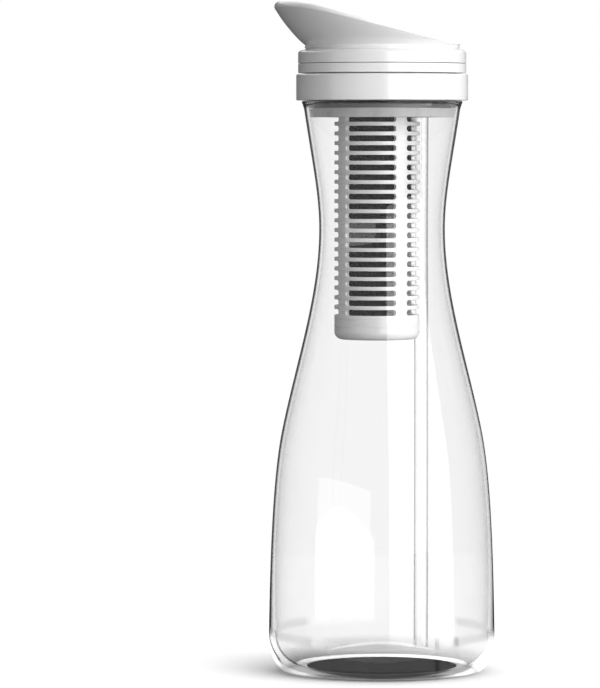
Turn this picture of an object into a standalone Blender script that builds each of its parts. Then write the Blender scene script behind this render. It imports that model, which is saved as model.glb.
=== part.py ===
# Water filter carafe: a waisted glass carafe, a push-in lid with a turning pouring head,
# a slotted carbon cartridge hanging from the lid, and a vent tube that reaches the floor.
# Metres, +Z up. The origin is the centre of the foot, on the table. The beak points to -X.

import math

import bmesh
import bpy
from mathutils import Matrix, Vector
from mathutils.geometry import interpolate_bezier

# Clearance between pieces that touch, seal or run on each other
GAP = 0.0003

# Glass carafe: its height, and the stretches that it is made of; the belly takes what they leave
GLASS_HEIGHT = 0.2552
HEEL_HEIGHT = 0.016
FLANK_RISE = 0.090
NECK_RISE = 0.0572

# Glass carafe: outer radii, walls and the slopes of its side
BASE_RADIUS = 0.05065
SHOULDER_RADIUS = 0.04465
HEEL_WIDTH = 0.0087
CONTACT_WIDTH = 0.0035
PUNT_EDGE_WIDTH = 0.0035
PUNT_DEPTH = 0.0010
PUNT_CROWN = 0.0003
GLASS_WALL = 0.0018
HEEL_WALL = 0.0029
HEEL_WALL_RISE = 0.046
GLASS_FLOOR = 0.0023
INNER_CORNER_WIDTH = 0.0060
SIDE_TAPER = 0.017
SHOULDER_SLOPE = 0.20
MOUTH_FLARE = 0.145
RIM_BEAD = 0.0005
LIFT_CLEARANCE = 0.00156

# Glass carafe: how far the curve keeps each station's slope, as a share of the stretch beside it
HEEL_HOLD = 0.43
SHOULDER_HOLD_BELOW = 0.22
SHOULDER_HOLD_ABOVE = 0.33
WAIST_HOLD_BELOW = 0.33
WAIST_HOLD_ABOVE = 0.284
MOUTH_HOLD = 0.461

# Filter cartridge
CARTRIDGE_RADIUS = 0.01905
CARTRIDGE_WALL = 0.0020
CARTRIDGE_OFFSET = 0.0022
CARTRIDGE_CORNER = 0.0034
CARTRIDGE_CUP = 0.0110
CARTRIDGE_COLLAR = 0.0036
SLOT_ROWS = 21
SLOT_COLUMNS = 4
SLOT_PITCH = 0.00431
SLOT_HEIGHT = 0.00264
SLOT_TURN = math.radians(-10)
BLOCK_RADIUS = 0.0153
FLEECE_THICKNESS = 0.0006
CORE_RADIUS = 0.0060
CORE_WALL = 0.0015
CORE_WINDOW_ROWS = 5
CORE_WINDOW_COLUMNS = 4
PAD_THICKNESS = 0.0007
CAP_FLOOR = 0.0012
OUTLET_RADIUS = 0.0045

# Vent tube, beside the cartridge
TUBE_RADIUS = 0.00325
TUBE_BORE = 0.00225
TUBE_CLEARANCE = 0.0010
TUBE_BEARING = math.radians(31)
TUBE_FLOOR_GAP = 0.0070
TUBE_BOSS_WALL = 0.00065
VENT_HOLE_RADIUS = 0.0020

# Plug that fills the neck, with its floor, its spigot and its gasket
PLATE_THICKNESS = 0.0020
PLUG_DEPTH = 0.0068
PLUG_WALL = 0.0017
PLUG_MARGIN = 0.00136
PLUG_FLOOR = 0.0016
SPIGOT_RADIUS = 0.0135
SPIGOT_WALL = 0.0030
SPIGOT_O_RING = 0.0006
PLATE_OVERHANG = 0.00068
GASKET_SLEEVE = 0.0017
GASKET_BAND = 0.0021
GASKET_BAND_HEIGHT = 0.0042
GASKET_DROP = 0.0007

# Collar and the two rings of the pouring head
COLLAR_HEIGHT = 0.0116
COLLAR_WALL = 0.0020
COLLAR_WEB = 0.0018
COLLAR_BEVEL = 0.0005
COLLAR_GROOVE = 0.0005
RING_INSET = 0.00085
TURN_RING_HEIGHT = 0.0041
SPOUT_RING_HEIGHT = 0.0058
RING_ROUNDING = 0.0004
RING_CROWN = 0.0033
RING_CROWN_HEIGHT = 0.0017

# Shutter that opens and shuts the pouring head
SEAL_THICKNESS = 0.0008
SHUTTER_FLOOR = 0.0020
SHUTTER_WALL = 0.0031
SHUTTER_MARGIN = 0.0030
ROTOR_O_RING = 0.0007
WINDOW_INNER = 0.0036
WINDOW_WIDTH = 0.0038
WINDOW_ANGLE = math.radians(80)
PIVOT_BOSS_RADIUS = 0.0028
PIVOT_RADIUS = 0.00125
PIVOT_HEAD_RADIUS = 0.0026
PIVOT_HEAD_HEIGHT = 0.0020
WASHER_RADIUS = 0.0033
WASHER_THICKNESS = 0.0006

# Pouring spout: a flared cone cut off along a sloping rim
SPOUT_WALL = 0.0018
SPOUT_SKIRT = 0.0056
SPOUT_FOOT_INSET = 0.0029
SPOUT_REACH = 0.01355
SPOUT_RISE = 0.0211
SPOUT_LIP = 0.0024
SPOUT_BACK_RISE = 0.0022
SPOUT_FLARE = 1.3
BEAK_EASE = 0.023
BACK_EASE = 0.006

# Facets round the large and the small turned pieces
ROUND_STEPS = 36
SMALL_STEPS = 24
CAGE_STEPS = 20
CORE_STEPS = 12
RING_SECTION_STEPS = 6

# Axes that the pieces are turned about
CARTRIDGE_X = -CARTRIDGE_OFFSET
TUBE_DISTANCE = CARTRIDGE_RADIUS + TUBE_RADIUS + TUBE_CLEARANCE
TUBE_X = CARTRIDGE_X + TUBE_DISTANCE * math.cos(TUBE_BEARING)
TUBE_Y = TUBE_DISTANCE * math.sin(TUBE_BEARING)
TUBE_REACH = math.hypot(TUBE_X, TUBE_Y)

# Radii of the neck, worked out from what has to pass through it
tube_hole = TUBE_RADIUS + GAP
tube_boss = tube_hole + TUBE_BOSS_WALL
waist_radius = TUBE_REACH + TUBE_RADIUS + LIFT_CLEARANCE + GLASS_WALL
plug_inner = TUBE_REACH + tube_boss + PLUG_MARGIN
plug_radius = plug_inner + PLUG_WALL
sleeve_inner = plug_radius + GAP
sleeve_radius = sleeve_inner + GASKET_SLEEVE
band_radius = sleeve_radius + GASKET_BAND

# Heights, from the glass rim up and down
rim_z = GLASS_HEIGHT
waist_z = rim_z - NECK_RISE
shoulder_z = waist_z - FLANK_RISE
plate_low = rim_z + GAP
plate_top = plate_low + PLATE_THICKNESS
plug_floor_low = plate_low - PLUG_DEPTH
plug_floor_top = plug_floor_low + PLUG_FLOOR
gasket_low = plug_floor_low - GASKET_DROP
band_top = gasket_low + GASKET_BAND_HEIGHT
collar_top = plate_low + COLLAR_HEIGHT
seal_low = plate_top + GAP
seal_top = seal_low + SEAL_THICKNESS
shutter_low = seal_top + GAP
shutter_floor_top = shutter_low + SHUTTER_FLOOR
turn_ring_low = collar_top + COLLAR_GROOVE
turn_ring_top = turn_ring_low + TURN_RING_HEIGHT
spout_ring_low = turn_ring_top + GAP
spout_ring_top = spout_ring_low + SPOUT_RING_HEIGHT
foot_z = spout_ring_top + GAP
skirt_low = foot_z - SPOUT_SKIRT
shutter_top = skirt_low - GAP
tip_z = foot_z + SPOUT_RISE

# Radii of the mouth, the collar and the pouring head
wall_stretch = math.hypot(1, MOUTH_FLARE)
mouth_inner = band_radius + GAP + MOUTH_FLARE * (rim_z - band_top)
mouth_radius = mouth_inner + GLASS_WALL * wall_stretch
plate_radius = mouth_radius + PLATE_OVERHANG
collar_inner = plate_radius + GAP
collar_radius = collar_inner + COLLAR_WALL
ring_radius = collar_radius - RING_INSET
shutter_inner = TUBE_REACH + VENT_HOLE_RADIUS + SHUTTER_MARGIN
shutter_radius = shutter_inner + SHUTTER_WALL
head_bore = shutter_radius + GAP
foot_radius = ring_radius - SPOUT_FOOT_INSET

# Heights and radii inside the cartridge
cap_radius = CARTRIDGE_RADIUS - CARTRIDGE_WALL - GAP
socket_radius = SPIGOT_RADIUS + GAP
slots_top = plug_floor_low - (SLOT_PITCH - SLOT_HEIGHT) * 0.06
block_top = plug_floor_low
cap_low = block_top + PAD_THICKNESS + 2 * GAP
cap_floor_top = cap_low + CAP_FLOOR
cap_top = plate_low - GAP
spigot_low = cap_floor_top + GAP
cage_top = plug_floor_low + CARTRIDGE_COLLAR
cage_low = slots_top - SLOT_PITCH * (SLOT_ROWS - 1) - SLOT_HEIGHT - CARTRIDGE_CUP
cage_floor_top = cage_low + CARTRIDGE_WALL
block_low = cage_floor_top + PAD_THICKNESS + 2 * GAP
fleece_inner = CORE_RADIUS + GAP
block_inner = fleece_inner + FLEECE_THICKNESS + GAP
tube_low = GLASS_FLOOR + TUBE_FLOOR_GAP
boss_low = cage_top + 2 * GAP


def clear_scene():
    for item in list(bpy.data.objects):
        bpy.data.objects.remove(item, do_unlink=True)


def new_collection(name):
    collection = bpy.data.collections.new(name)
    bpy.context.scene.collection.children.link(collection)
    return collection


def finish(name, colour, roughness, metallic=0.0, clear=0.0):
    material = bpy.data.materials.new(name)
    material.use_nodes = True
    shader = material.node_tree.nodes["Principled BSDF"]
    shader.inputs["Base Color"].default_value = (*colour, 1.0)
    shader.inputs["Roughness"].default_value = roughness
    shader.inputs["Metallic"].default_value = metallic
    shader.inputs["Transmission Weight"].default_value = clear
    material.diffuse_color = (*colour, 1.0 - 0.7 * clear)
    return material


def white_plastic(name):
    return finish(name, (0.90, 0.90, 0.90), 0.18)


def silicone(name):
    return finish(name, (0.55, 0.56, 0.57), 0.45)


def steel(name):
    return finish(name, (0.70, 0.70, 0.72), 0.25, metallic=1.0)


def place(mesh, name, collection, material, parent=None, location=(0, 0, 0)):
    item = bpy.data.objects.new(name, mesh)
    collection.objects.link(item)
    item.location = location
    item.parent = parent
    if material:
        mesh.materials.append(material)
        mesh.shade_smooth()
        mesh.set_sharp_from_angle(angle=math.radians(35))
    return item


def hide_tool(item):
    item.hide_render = True
    item.display_type = "WIRE"
    return item


def outline_mesh(name, outline):
    # The outline is (radius, height); it closes on itself unless its ends lie on the axis.
    mesh = bpy.data.meshes.new(name)
    bm = bmesh.new()
    dots = [bm.verts.new((radius, 0, height)) for radius, height in outline]
    for start, end in zip(dots, dots[1:]):
        bm.edges.new((start, end))
    if outline[0][0] > 0:
        bm.edges.new((dots[-1], dots[0]))
    bm.to_mesh(mesh)
    bm.free()
    return mesh


def turned(name, outline, collection, material, parent=None, location=(0, 0, 0), steps=ROUND_STEPS):
    # The outline runs down the outer side and back up the inner side.
    item = place(outline_mesh(name, outline), name, collection, material, parent, location)
    screw = item.modifiers.new("Turn", "SCREW")
    screw.axis = "Z"
    screw.angle = math.tau
    screw.steps = steps
    screw.render_steps = steps
    screw.use_merge_vertices = True
    screw.merge_threshold = 0.00001
    screw.use_smooth_shade = True
    return item


def turned_tool(name, outline, location=(0, 0, 0), steps=SMALL_STEPS):
    return hide_tool(turned(name, outline, tools, None, None, location, steps))


def rod_outline(radius, low, high):
    return [(0, high), (radius, high), (radius, low), (0, low)]


def tube_outline(inner, outer, low, high):
    return [(inner, high), (outer, high), (outer, low), (inner, low)]


def arc(centre, width, height, start, end, steps):
    # Points of an elliptical arc; angles are in degrees from the outward radius, up being 90.
    points = []
    for step in range(steps + 1):
        angle = math.radians(start + (end - start) * step / steps)
        points.append((centre[0] + width * math.cos(angle), centre[1] + height * math.sin(angle)))
    return points


def o_ring(name, radius, section, height, parent, location=(0, 0, 0)):
    outline = arc((radius, height), section, section, 0, -360, RING_SECTION_STEPS)[:-1]
    return turned(name, outline, model, silicone(name), parent, location)


def combine(item, tool, operation):
    boolean = item.modifiers.new(tool.name, "BOOLEAN")
    boolean.operation = operation
    boolean.solver = "EXACT"
    boolean.object = tool


def sector_tool(name, inner, outer, low, high, bearing):
    # A window cutter: part of a ring, centred on its bearing.
    mesh = bpy.data.meshes.new(name)
    bm = bmesh.new()
    corners = [(inner, low), (outer, low), (outer, high), (inner, high)]
    face = bm.faces.new([bm.verts.new((radius, 0, height)) for radius, height in corners])
    turn = bearing - WINDOW_ANGLE / 2
    bmesh.ops.spin(
        bm, geom=[face, *face.edges, *face.verts], cent=(0, 0, 0), axis=(0, 0, 1), angle=WINDOW_ANGLE, steps=6
    )
    bmesh.ops.recalc_face_normals(bm, faces=bm.faces)
    bm.to_mesh(mesh)
    bm.free()
    item = hide_tool(place(mesh, name, tools, None))
    item.rotation_euler.z = turn
    return item


def glass_stretch(start, start_slope, start_hold, end, end_slope, end_hold, points):
    # A smooth stretch of the glass side between two stations of (radius, height).
    rise = end[1] - start[1]
    leave = (start[0] + start_slope * start_hold * rise, start[1] + start_hold * rise)
    arrive = (end[0] - end_slope * end_hold * rise, end[1] - end_hold * rise)
    knots = [Vector((*knot, 0)) for knot in (start, leave, arrive, end)]
    return [(dot.x, dot.y) for dot in interpolate_bezier(*knots, points)]


def glass_side():
    # Outer side of the glass, from the top of the heel to the rim.
    heel = (BASE_RADIUS, HEEL_HEIGHT)
    shoulder = (SHOULDER_RADIUS, shoulder_z)
    waist = (waist_radius, waist_z)
    mouth = (mouth_radius, rim_z)
    belly = glass_stretch(heel, -SIDE_TAPER, HEEL_HOLD, shoulder, -SHOULDER_SLOPE, SHOULDER_HOLD_BELOW, 6)
    flank = glass_stretch(shoulder, -SHOULDER_SLOPE, SHOULDER_HOLD_ABOVE, waist, 0, WAIST_HOLD_BELOW, 7)
    neck = glass_stretch(waist, 0, WAIST_HOLD_ABOVE, mouth, MOUTH_FLARE, MOUTH_HOLD, 6)
    return belly + flank[1:] + neck[1:]


def glass_inside(side):
    # The same side moved in by the wall, square to the surface; the wall thickens towards the heel.
    inside = []
    for index, (radius, height) in enumerate(side):
        below = side[max(index - 1, 0)]
        above = side[min(index + 1, len(side) - 1)]
        slope = (above[0] - below[0]) / (above[1] - below[1])
        nearness = max(0, 1 - (height - HEEL_HEIGHT) / HEEL_WALL_RISE)
        wall = GLASS_WALL + (HEEL_WALL - GLASS_WALL) * nearness**2
        inside.append((radius - wall * math.hypot(1, slope), height))
    return inside


def radius_at(side, height):
    for low, high in zip(side, side[1:]):
        if low[1] <= height <= high[1]:
            share = (height - low[1]) / (high[1] - low[1])
            return low[0] + (high[0] - low[0]) * share
    return side[-1][0]


def make_glass():
    side = glass_side()
    inside = glass_inside(side)
    half = GLASS_WALL / 2
    corner_centre = (inside[0][0] - INNER_CORNER_WIDTH, HEEL_HEIGHT)
    corner = arc(corner_centre, INNER_CORNER_WIDTH, HEEL_HEIGHT - GLASS_FLOOR, -90, 0, 5)
    rim = [
        (inside[-1][0] - MOUTH_FLARE * half, rim_z - half),
        (inside[-1][0] + half * 0.5, rim_z),
        (mouth_radius + RIM_BEAD - half * 0.5, rim_z),
        (mouth_radius + RIM_BEAD, rim_z - half * 0.4),
        (mouth_radius + RIM_BEAD, rim_z - half * 0.9),
        (mouth_radius - MOUTH_FLARE * half * 1.9, rim_z - half * 1.9),
    ]
    heel = arc((BASE_RADIUS - HEEL_WIDTH, HEEL_HEIGHT), HEEL_WIDTH, HEEL_HEIGHT, 0, -90, 6)
    contact = heel[-1][0] - CONTACT_WIDTH
    punt = [
        (contact, 0),
        (contact - PUNT_EDGE_WIDTH * 0.5, PUNT_DEPTH * 0.7),
        (contact - PUNT_EDGE_WIDTH, PUNT_DEPTH),
        (0, PUNT_DEPTH + PUNT_CROWN),
    ]
    outline = [(0, GLASS_FLOOR + PUNT_CROWN), *corner, *inside[1:-1], *rim, *reversed(side[1:-1]), *heel, *punt]
    glass = finish("glass_carafe", (0.96, 0.97, 0.97), 0.02, clear=1.0)
    turned("glass_carafe", outline, model, glass)


def make_gasket(parent):
    inside = glass_inside(glass_side())
    low_radius = radius_at(inside, gasket_low) - GAP
    top_radius = min(band_radius, radius_at(inside, band_top) - GAP)
    outline = [
        (sleeve_inner, plate_low - GAP),
        (sleeve_radius, plate_low - GAP),
        (sleeve_radius, band_top + GAP),
        (top_radius, band_top),
        (low_radius, gasket_low),
        (sleeve_inner, gasket_low),
    ]
    turned("neck_gasket", outline, model, silicone("neck_gasket"), parent)


def make_port_tools():
    # Cutters for the two pouring windows and the vent, through plate, seal and shutter.
    low = boss_low - PLATE_THICKNESS
    high = shutter_floor_top + PLATE_THICKNESS
    edge = WINDOW_INNER + WINDOW_WIDTH
    front = sector_tool("window_front", WINDOW_INNER, edge, low, high, math.radians(-90))
    back = sector_tool("window_back", WINDOW_INNER, edge, low, high, math.radians(90))
    vent_low = plate_low - GAP
    vent = turned_tool("vent_way", rod_outline(VENT_HOLE_RADIUS, vent_low, high), (TUBE_X, TUBE_Y, 0))
    return [front, back, vent]


def make_plug(parent, ports):
    seat = plate_low + PLATE_THICKNESS / 2
    outline = [
        (0, plate_top),
        (plate_radius, plate_top),
        (plate_radius, plate_low),
        (plug_radius, plate_low),
        (plug_radius, plug_floor_top + GAP),
        (plug_inner, plug_floor_top + GAP),
        (plug_inner, plate_low),
        (0, plate_low),
    ]
    plug = turned("lid_plug", outline, model, white_plastic("lid_plug"), parent)
    groove_half = SPIGOT_O_RING + GAP
    groove_z = (spigot_low + plate_low) / 2
    groove_radius = SPIGOT_RADIUS - 2 * SPIGOT_O_RING - GAP
    spigot = [
        (SPIGOT_RADIUS - SPIGOT_WALL, seat),
        (SPIGOT_RADIUS, seat),
        (SPIGOT_RADIUS, groove_z + groove_half),
        (groove_radius, groove_z + groove_half),
        (groove_radius, groove_z - groove_half),
        (SPIGOT_RADIUS, groove_z - groove_half),
        (SPIGOT_RADIUS, spigot_low),
        (SPIGOT_RADIUS - SPIGOT_WALL, spigot_low),
    ]
    pivot_low = spigot_low + GAP
    pivot_bore = PIVOT_RADIUS + GAP
    pivot_boss = rod_outline(PIVOT_BOSS_RADIUS, pivot_low, seat)
    pivot_hole = rod_outline(pivot_bore, pivot_low + PLATE_THICKNESS / 2, plate_top + PLATE_THICKNESS)
    tube_post = rod_outline(tube_boss, boss_low, seat)
    tube_bore = rod_outline(tube_hole, boss_low - PLATE_THICKNESS, plate_low)
    beside = (CARTRIDGE_X, 0, 0)
    over_tube = (TUBE_X, TUBE_Y, 0)
    combine(plug, turned_tool("spigot_form", spigot, beside), "UNION")
    combine(plug, turned_tool("pivot_boss_form", pivot_boss), "UNION")
    combine(plug, turned_tool("tube_post_form", tube_post, over_tube), "UNION")
    combine(plug, turned_tool("pivot_hole", pivot_hole), "DIFFERENCE")
    combine(plug, turned_tool("tube_bore", tube_bore, over_tube), "DIFFERENCE")
    for port in ports:
        combine(plug, port, "DIFFERENCE")
    o_ring("spigot_o_ring", SPIGOT_RADIUS - SPIGOT_O_RING, SPIGOT_O_RING, groove_z, parent, beside)


def make_plug_floor(parent):
    outline = rod_outline(plug_radius, plug_floor_low, plug_floor_top)
    floor = turned("plug_floor", outline, model, white_plastic("plug_floor"), parent)
    low, high = plug_floor_low - PLUG_FLOOR, plug_floor_top + PLUG_FLOOR
    well = rod_outline(CARTRIDGE_RADIUS + GAP, low, high)
    hole = rod_outline(tube_hole, low, high)
    combine(floor, turned_tool("cartridge_well", well, (CARTRIDGE_X, 0, 0), ROUND_STEPS), "DIFFERENCE")
    combine(floor, turned_tool("tube_hole", hole, (TUBE_X, TUBE_Y, 0)), "DIFFERENCE")


def make_collar(parent):
    web_low = collar_top - COLLAR_WEB
    inner_wall = head_bore + COLLAR_WALL
    outline = [
        (head_bore, collar_top),
        (collar_radius - COLLAR_BEVEL, collar_top),
        (collar_radius, collar_top - COLLAR_BEVEL),
        (collar_radius, plate_low),
        (collar_inner, plate_low),
        (collar_inner, web_low),
        (inner_wall, web_low),
        (inner_wall, plate_top + GAP),
        (head_bore, plate_top + GAP),
    ]
    turned("collar_band", outline, model, white_plastic("collar_band"), parent)


def make_shutter(lid, head, ports):
    seal_outline = rod_outline(shutter_radius, seal_low, seal_top)
    seal = turned("shutter_seal", seal_outline, model, silicone("shutter_seal"), lid)
    groove_half = ROTOR_O_RING + GAP
    groove_z = (shutter_floor_top + collar_top) / 2
    groove_radius = shutter_radius - 2 * ROTOR_O_RING - GAP
    outline = [
        (0, shutter_floor_top),
        (shutter_inner, shutter_floor_top),
        (shutter_inner, shutter_top),
        (shutter_radius, shutter_top),
        (shutter_radius, groove_z + groove_half),
        (groove_radius, groove_z + groove_half),
        (groove_radius, groove_z - groove_half),
        (shutter_radius, groove_z - groove_half),
        (shutter_radius, shutter_low),
        (0, shutter_low),
    ]
    cup = turned("shutter_cup", outline, model, white_plastic("shutter_cup"), head)
    bore = rod_outline(PIVOT_RADIUS + GAP, plate_low, shutter_floor_top + SHUTTER_FLOOR)
    pivot = turned_tool("pivot_way", bore)
    for item in (seal, cup):
        combine(item, pivot, "DIFFERENCE")
        for port in ports:
            combine(item, port, "DIFFERENCE")
    o_ring("rotor_o_ring", shutter_radius - ROTOR_O_RING, ROTOR_O_RING, groove_z, head)


def make_pivot(parent):
    washer_low = shutter_floor_top + GAP
    washer_top = washer_low + WASHER_THICKNESS
    head_low = washer_top + GAP
    head_top = head_low + PIVOT_HEAD_HEIGHT
    tip = spigot_low + 2 * GAP + PLATE_THICKNESS / 2
    washer = tube_outline(PIVOT_RADIUS + GAP, WASHER_RADIUS, washer_low, washer_top)
    turned("pivot_washer", washer, model, steel("pivot_washer"), parent, steps=SMALL_STEPS)
    shoulder = head_low + PIVOT_HEAD_HEIGHT * 0.45
    dome = arc((0, shoulder), PIVOT_HEAD_RADIUS, head_top - shoulder, 90, 0, 4)
    screw = [*dome, (PIVOT_HEAD_RADIUS, head_low), (PIVOT_RADIUS, head_low), (PIVOT_RADIUS, tip), (0, tip)]
    screw[0] = (0, head_top)
    turned("pivot_screw", screw, model, steel("pivot_screw"), parent, steps=SMALL_STEPS)


def make_vent_tube(parent):
    outline = tube_outline(TUBE_BORE, TUBE_RADIUS, tube_low, plate_low - GAP)
    clear = finish("vent_tube", (0.93, 0.94, 0.94), 0.08, clear=0.9)
    turned("vent_tube", outline, model, clear, parent, (TUBE_X, TUBE_Y, 0), SMALL_STEPS)


def make_rings(parent):
    turn_ring = [
        (head_bore, turn_ring_top),
        (ring_radius, turn_ring_top),
        *arc((ring_radius - RING_ROUNDING, turn_ring_low + RING_ROUNDING), RING_ROUNDING, RING_ROUNDING, 0, -90, 3),
        (head_bore, turn_ring_low),
    ]
    turned("turn_ring", turn_ring, model, white_plastic("turn_ring"), parent)
    crown_centre = (ring_radius - RING_CROWN, spout_ring_top - RING_CROWN_HEIGHT)
    crown = arc(crown_centre, RING_CROWN, RING_CROWN_HEIGHT, 90, 0, 4)
    spout_ring = [(head_bore, spout_ring_top), *crown, (ring_radius, spout_ring_low), (head_bore, spout_ring_low)]
    turned("spout_ring", spout_ring, model, white_plastic("spout_ring"), parent)


def rim_height(x):
    # Side view of the spout's rim: level over the beak, then a straight slope down to the back.
    tip_x = -foot_radius - SPOUT_REACH
    low_z = foot_z + SPOUT_BACK_RISE
    slope = (tip_z - low_z) / (foot_radius - tip_x - (BEAK_EASE + BACK_EASE) / 2)
    past_tip = x - tip_x
    to_back = foot_radius - x
    if past_tip < BEAK_EASE:
        return tip_z - slope * max(past_tip, 0) ** 2 / (2 * BEAK_EASE)
    if to_back < BACK_EASE:
        return low_z + slope * max(to_back, 0) ** 2 / (2 * BACK_EASE)
    return low_z + slope * (to_back - BACK_EASE / 2)


def flare(share):
    # How far the cone has opened at a share of its height: quicker at the foot.
    return SPOUT_FLARE * share - (SPOUT_FLARE - 1) * share * share


def spout_section():
    # Section of the spout through its beak, and the height where its cone starts.
    cone_low = foot_z + SPOUT_WALL
    cone_top = tip_z - SPOUT_LIP
    shares = [step / 5 for step in range(6)]
    outer = []
    for share in shares:
        outer.append((foot_radius + SPOUT_REACH * flare(share), cone_low + (cone_top - cone_low) * share))
    edge = SPOUT_WALL / 3
    tip_radius = foot_radius + SPOUT_REACH
    lip = [
        (tip_radius - SPOUT_WALL, tip_z - edge),
        (tip_radius - SPOUT_WALL + edge, tip_z),
        (tip_radius - edge, tip_z),
        (tip_radius, tip_z - edge),
    ]
    inner = [(radius - SPOUT_WALL, height) for radius, height in outer]
    skirt_inner = shutter_radius - SPOUT_WALL
    foot = [
        (foot_radius, foot_z),
        (shutter_radius, foot_z),
        (shutter_radius, skirt_low),
        (skirt_inner, skirt_low),
        (skirt_inner, cone_low),
    ]
    return inner + lip + outer[::-1] + foot, cone_low


def make_spout(parent):
    section, cone_low = spout_section()
    mesh = bpy.data.meshes.new("pour_spout")
    bm = bmesh.new()
    dots = [bm.verts.new((-radius, 0, height)) for radius, height in section]
    ring = [bm.edges.new(pair) for pair in zip(dots, dots[1:] + dots[:1])]
    bmesh.ops.spin(
        bm, geom=dots + ring, cent=(0, 0, 0), axis=(0, 0, 1), angle=math.tau, steps=ROUND_STEPS, use_merge=True
    )
    full = tip_z - cone_low
    for dot in bm.verts:
        if dot.co.z <= cone_low + GAP / 100:
            continue
        bearing = math.atan2(dot.co.y, dot.co.x)
        radius = math.hypot(dot.co.x, dot.co.y)
        share = 1.0
        for _ in range(12):
            rim_radius = foot_radius + SPOUT_REACH * flare(share)
            share = (rim_height(rim_radius * math.cos(bearing)) - cone_low) / full
        height = (dot.co.z - cone_low) / full
        cone_height = min(height * full / (full - SPOUT_LIP), 1.0)
        wall = foot_radius + SPOUT_REACH * flare(cone_height) - radius
        radius = foot_radius + SPOUT_REACH * flare(cone_height) * flare(share) - wall
        dot.co = (radius * math.cos(bearing), radius * math.sin(bearing), cone_low + height * share * full)
    bmesh.ops.recalc_face_normals(bm, faces=bm.faces)
    bm.to_mesh(mesh)
    bm.free()
    place(mesh, "pour_spout", model, white_plastic("pour_spout"), parent)


def slotted_sheet(name, outline, steps, cell, keep, turn):
    # A turned sheet with windows left out where the row and the column both say so.
    mesh = bpy.data.meshes.new(name)
    bm = bmesh.new()
    dots = [bm.verts.new((radius, 0, height)) for radius, height in outline]
    edges = [bm.edges.new(pair) for pair in zip(dots, dots[1:])]
    bmesh.ops.spin(
        bm, geom=dots + edges, cent=(0, 0, 0), axis=(0, 0, 1), angle=math.tau, steps=steps, use_merge=True
    )
    bmesh.ops.remove_doubles(bm, verts=bm.verts, dist=GAP / 100)
    gone = []
    for face in bm.faces:
        middle = face.calc_center_median()
        column = int(math.atan2(middle.y, middle.x) % math.tau / math.tau * steps) % cell
        if column and keep(middle.z):
            gone.append(face)
    bmesh.ops.delete(bm, geom=gone, context="FACES")
    bmesh.ops.recalc_face_normals(bm, faces=bm.faces)
    bmesh.ops.rotate(bm, verts=bm.verts, cent=(0, 0, 0), matrix=Matrix.Rotation(turn, 3, "Z"))
    bm.to_mesh(mesh)
    bm.free()
    return mesh


def add_wall(item, thickness):
    wall = item.modifiers.new("Wall", "SOLIDIFY")
    wall.thickness = thickness
    wall.offset = -1
    wall.use_even_offset = True


def make_cage(parent):
    corner_centre = (CARTRIDGE_RADIUS - CARTRIDGE_CORNER, cage_low + CARTRIDGE_CORNER)
    outline = [(0, cage_low), *arc(corner_centre, CARTRIDGE_CORNER, CARTRIDGE_CORNER, -90, 0, 4)]
    slots_low = cage_low + CARTRIDGE_CUP
    for row in range(SLOT_ROWS):
        low = slots_low + row * SLOT_PITCH
        outline += [(CARTRIDGE_RADIUS, low), (CARTRIDGE_RADIUS, low + SLOT_HEIGHT)]
    outline.append((CARTRIDGE_RADIUS, cage_top))

    def in_slot(height):
        row = (height - slots_low) / SLOT_PITCH
        return 0 < row < SLOT_ROWS and row % 1 < SLOT_HEIGHT / SLOT_PITCH

    cell = CAGE_STEPS // SLOT_COLUMNS
    turn = SLOT_TURN - math.pi / SLOT_COLUMNS - math.pi / CAGE_STEPS
    mesh = slotted_sheet("cartridge_cage", outline, CAGE_STEPS, cell, in_slot, turn)
    material = white_plastic("cartridge_cage")
    cage = place(mesh, "cartridge_cage", model, material, parent, (CARTRIDGE_X, 0, 0))
    add_wall(cage, CARTRIDGE_WALL)


def make_core(parent):
    beside = (CARTRIDGE_X, 0, 0)
    low, high = cage_floor_top + GAP, cap_low - GAP
    pitch = (high - low) / CORE_WINDOW_ROWS
    web = CORE_RADIUS
    outline = [(CORE_RADIUS, low)]
    for row in range(CORE_WINDOW_ROWS):
        window_low = low + row * pitch + web / 2
        outline += [(CORE_RADIUS, window_low), (CORE_RADIUS, window_low + pitch - web)]
    outline.append((CORE_RADIUS, high))

    def in_window(height):
        past = (height - low) % pitch
        return web / 2 < past < pitch - web / 2

    mesh = slotted_sheet("core_tube", outline, CORE_STEPS, CORE_STEPS // CORE_WINDOW_COLUMNS, in_window, 0)
    core = place(mesh, "core_tube", model, white_plastic("core_tube"), parent, beside)
    add_wall(core, CORE_WALL)
    fleece = tube_outline(fleece_inner, fleece_inner + FLEECE_THICKNESS, block_low, block_top)
    fleece_finish = finish("core_fleece", (0.85, 0.85, 0.82), 0.9)
    turned("core_fleece", fleece, model, fleece_finish, parent, beside, SMALL_STEPS)
    block = tube_outline(block_inner, BLOCK_RADIUS, block_low, block_top)
    carbon = finish("carbon_block", (0.015, 0.015, 0.016), 0.55)
    turned("carbon_block", block, model, carbon, parent, beside, SMALL_STEPS)
    pad_low = cage_floor_top + GAP
    for name, height in (("bottom_pad", pad_low), ("top_pad", block_top + GAP)):
        pad = tube_outline(fleece_inner, BLOCK_RADIUS, height, height + PAD_THICKNESS)
        turned(name, pad, model, silicone(name), parent, beside, SMALL_STEPS)
    cap = [
        (socket_radius, cap_top),
        (cap_radius, cap_top),
        (cap_radius, cap_low),
        (OUTLET_RADIUS, cap_low),
        (OUTLET_RADIUS, cap_floor_top),
        (socket_radius, cap_floor_top),
    ]
    turned("cartridge_cap", cap, model, white_plastic("cartridge_cap"), parent, beside)


def frame_empty(name, parent=None):
    # Carries the pieces that move together.
    empty = bpy.data.objects.new(name, None)
    empty.empty_display_size = BASE_RADIUS
    model.objects.link(empty)
    empty.parent = parent
    return empty


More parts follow.
